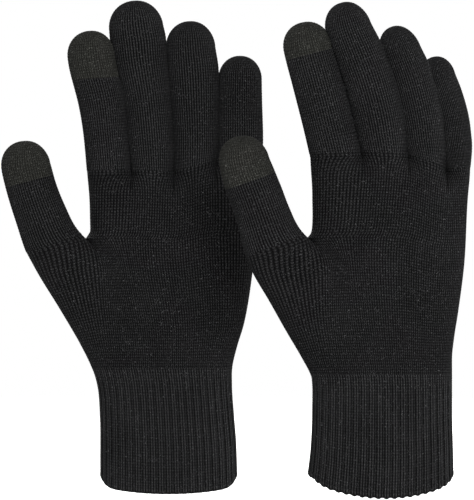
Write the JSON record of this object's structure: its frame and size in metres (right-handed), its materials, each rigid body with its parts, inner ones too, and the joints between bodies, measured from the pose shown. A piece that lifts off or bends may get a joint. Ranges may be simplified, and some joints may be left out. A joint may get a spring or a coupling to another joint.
{
  "type": "touchscreen gloves",
  "caption": "Pair of fine knitted gloves with ribbed cuffs, jointed at wrists and fingers, with conductive yarn on the thumb and index fingertips.",
  "frame": {"origin": "middle of the left glove's wrist, where the wearer's hand passes from the cuff into the hand", "axes": "+Z towards the fingertips, +X from the left glove to the right glove, -Y is the way that the left palm and the back of the right hand face"},
  "size_m": [0.2388, 0.1062, 0.2487],
  "materials": {
    "black_knit": "black plain knit, slightly fuzzy",
    "rib_knit": "black rib knit",
    "conductive_knit": "mottled grey conductive yarn, faint metallic fibres",
    "elastic_thread": "black covered elastic thread"
  },
  "bodies": {
    "left_hand": {"left_hand": "black_knit", "left_wrist_sleeve": "black_knit", "left_thumb_root": "black_knit", "left_index_root": "black_knit", "left_middle_root": "black_knit", "left_ring_root": "black_knit", "left_pinky_root": "black_knit"},
    "left_cuff": {"left_cuff": "rib_knit", "left_cuff_hem": "rib_knit", "left_cuff_elastic": "elastic_thread"},
    "left_thumb_lower": {"left_thumb_lower": "black_knit", "left_thumb_bend": "black_knit"},
    "left_thumb_end": {"left_thumb_touch_tip": "conductive_knit"},
    "left_index_lower": {"left_index_lower": "black_knit", "left_index_bend": "black_knit"},
    "left_index_end": {"left_index_upper": "black_knit", "left_index_touch_tip": "conductive_knit"},
    "left_middle_lower": {"left_middle_lower": "black_knit", "left_middle_bend": "black_knit"},
    "left_middle_end": {"left_middle_tip": "black_knit"},
    "left_ring_lower": {"left_ring_lower": "black_knit", "left_ring_bend": "black_knit"},
    "left_ring_end": {"left_ring_tip": "black_knit"},
    "left_pinky_lower": {"left_pinky_lower": "black_knit", "left_pinky_bend": "black_knit"},
    "left_pinky_end": {"left_pinky_tip": "black_knit"},
    "right_hand": {"right_hand": "black_knit", "right_wrist_sleeve": "black_knit", "right_thumb_root": "black_knit", "right_index_root": "black_knit", "right_middle_root": "black_knit", "right_ring_root": "black_knit", "right_pinky_root": "black_knit"},
    "right_cuff": {"right_cuff": "rib_knit", "right_cuff_hem": "rib_knit", "right_cuff_elastic": "elastic_thread"},
    "right_thumb_lower": {"right_thumb_lower": "black_knit", "right_thumb_bend": "black_knit"},
    "right_thumb_end": {"right_thumb_touch_tip": "conductive_knit"},
    "right_index_lower": {"right_index_lower": "black_knit", "right_index_bend": "black_knit"},
    "right_index_end": {"right_index_upper": "black_knit", "right_index_touch_tip": "conductive_knit"},
    "right_middle_lower": {"right_middle_lower": "black_knit", "right_middle_bend": "black_knit"},
    "right_middle_end": {"right_middle_tip": "black_knit"},
    "right_ring_lower": {"right_ring_lower": "black_knit", "right_ring_bend": "black_knit"},
    "right_ring_end": {"right_ring_tip": "black_knit"},
    "right_pinky_lower": {"right_pinky_lower": "black_knit", "right_pinky_bend": "black_knit"},
    "right_pinky_end": {"right_pinky_tip": "black_knit"}
  },
  "joints": [
    {"name": "left_wrist_bend", "type": "hinge", "parent": "left_hand", "child": "left_cuff", "pos_m": [0, 0, 0], "axis": [1, 0, 0], "range_deg": [-40, 40], "deforming": ["left_wrist_sleeve"]},
    {"name": "left_thumb_knuckle", "type": "hinge", "parent": "left_hand", "child": "left_thumb_lower", "pos_m": [-0.0552, -0.004, 0.059], "axis": [1, 0, 0], "range_deg": [-10, 50], "deforming": ["left_thumb_root"]},
    {"name": "left_thumb_fold", "type": "hinge", "parent": "left_thumb_lower", "child": "left_thumb_end", "pos_m": [-0.06375, -0.004, 0.08249], "axis": [1, 0, 0], "range_deg": [0, 70], "deforming": ["left_thumb_bend"]},
    {"name": "left_index_knuckle", "type": "hinge", "parent": "left_hand", "child": "left_index_lower", "pos_m": [-0.0296, -0.003, 0.096], "axis": [1, 0, 0], "range_deg": [-10, 75], "deforming": ["left_index_root"]},
    {"name": "left_index_fold", "type": "hinge", "parent": "left_index_lower", "child": "left_index_end", "pos_m": [-0.03523, -0.003, 0.13156], "axis": [1, 0, 0], "range_deg": [0, 80], "deforming": ["left_index_bend"]},
    {"name": "left_middle_knuckle", "type": "hinge", "parent": "left_hand", "child": "left_middle_lower", "pos_m": [-0.0083, -0.001, 0.096], "axis": [1, 0, 0], "range_deg": [-10, 75], "deforming": ["left_middle_root"]},
    {"name": "left_middle_fold", "type": "hinge", "parent": "left_middle_lower", "child": "left_middle_end", "pos_m": [-0.01196, -0.001, 0.13784], "axis": [1, 0, 0], "range_deg": [0, 80], "deforming": ["left_middle_bend"]},
    {"name": "left_ring_knuckle", "type": "hinge", "parent": "left_hand", "child": "left_ring_lower", "pos_m": [0.0135, 0.001, 0.096], "axis": [1, 0, 0], "range_deg": [-10, 75], "deforming": ["left_ring_root"]},
    {"name": "left_ring_fold", "type": "hinge", "parent": "left_ring_lower", "child": "left_ring_end", "pos_m": [0.01221, 0.001, 0.13298], "axis": [1, 0, 0], "range_deg": [0, 80], "deforming": ["left_ring_bend"]},
    {"name": "left_pinky_knuckle", "type": "hinge", "parent": "left_hand", "child": "left_pinky_lower", "pos_m": [0.036, 0.003, 0.096], "axis": [1, 0, 0], "range_deg": [-10, 75], "deforming": ["left_pinky_root"]},
    {"name": "left_pinky_fold", "type": "hinge", "parent": "left_pinky_lower", "child": "left_pinky_end", "pos_m": [0.036, 0.003, 0.125], "axis": [1, 0, 0], "range_deg": [0, 80], "deforming": ["left_pinky_bend"]},
    {"name": "gloves_apart", "type": "slide", "parent": "left_hand", "child": "right_hand", "axis": [1, 0, 0], "range_m": [0, 0.12]},
    {"name": "right_wrist_bend", "type": "hinge", "parent": "right_hand", "child": "right_cuff", "pos_m": [0.1066, -0.063, -0.0025], "axis": [-0.9925, -0.1219, 0], "range_deg": [-40, 40], "deforming": ["right_wrist_sleeve"]},
    {"name": "right_thumb_knuckle", "type": "hinge", "parent": "right_hand", "child": "right_thumb_lower", "pos_m": [0.053, -0.06958, 0.0565], "axis": [-0.9925, -0.1219, 0], "range_deg": [-10, 50], "deforming": ["right_thumb_root"]},
    {"name": "right_thumb_fold", "type": "hinge", "parent": "right_thumb_lower", "child": "right_thumb_end", "pos_m": [0.04452, -0.07062, 0.07999], "axis": [-0.9925, -0.1219, 0], "range_deg": [0, 70], "deforming": ["right_thumb_bend"]},
    {"name": "right_index_knuckle", "type": "hinge", "parent": "right_hand", "child": "right_index_lower", "pos_m": [0.08099, -0.06614, 0.0935], "axis": [-0.9925, -0.1219, 0], "range_deg": [-10, 75], "deforming": ["right_index_root"]},
    {"name": "right_index_fold", "type": "hinge", "parent": "right_index_lower", "child": "right_index_end", "pos_m": [0.07295, -0.06713, 0.12858], "axis": [-0.9925, -0.1219, 0], "range_deg": [0, 80], "deforming": ["right_index_bend"]},
    {"name": "right_middle_knuckle", "type": "hinge", "parent": "right_hand", "child": "right_middle_lower", "pos_m": [0.10261, -0.065, 0.0935], "axis": [-0.9925, -0.1219, 0], "range_deg": [-10, 75], "deforming": ["right_middle_root"]},
    {"name": "right_middle_fold", "type": "hinge", "parent": "right_middle_lower", "child": "right_middle_end", "pos_m": [0.09395, -0.06606, 0.13458], "axis": [-0.9925, -0.1219, 0], "range_deg": [0, 80], "deforming": ["right_middle_bend"]},
    {"name": "right_ring_knuckle", "type": "hinge", "parent": "right_hand", "child": "right_ring_lower", "pos_m": [0.12405, -0.06237, 0.0935], "axis": [-0.9925, -0.1219, 0], "range_deg": [-10, 75], "deforming": ["right_ring_root"]},
    {"name": "right_ring_fold", "type": "hinge", "parent": "right_ring_lower", "child": "right_ring_end", "pos_m": [0.11642, -0.06331, 0.12969], "axis": [-0.9925, -0.1219, 0], "range_deg": [0, 80], "deforming": ["right_ring_bend"]},
    {"name": "right_pinky_knuckle", "type": "hinge", "parent": "right_hand", "child": "right_pinky_lower", "pos_m": [0.14407, -0.05638, 0.0935], "axis": [-0.9925, -0.1219, 0], "range_deg": [-10, 75], "deforming": ["right_pinky_root"]},
    {"name": "right_pinky_fold", "type": "hinge", "parent": "right_pinky_lower", "child": "right_pinky_end", "pos_m": [0.13932, -0.05697, 0.1221], "axis": [-0.9925, -0.1219, 0], "range_deg": [0, 80], "deforming": ["right_pinky_bend"]}
  ]
}
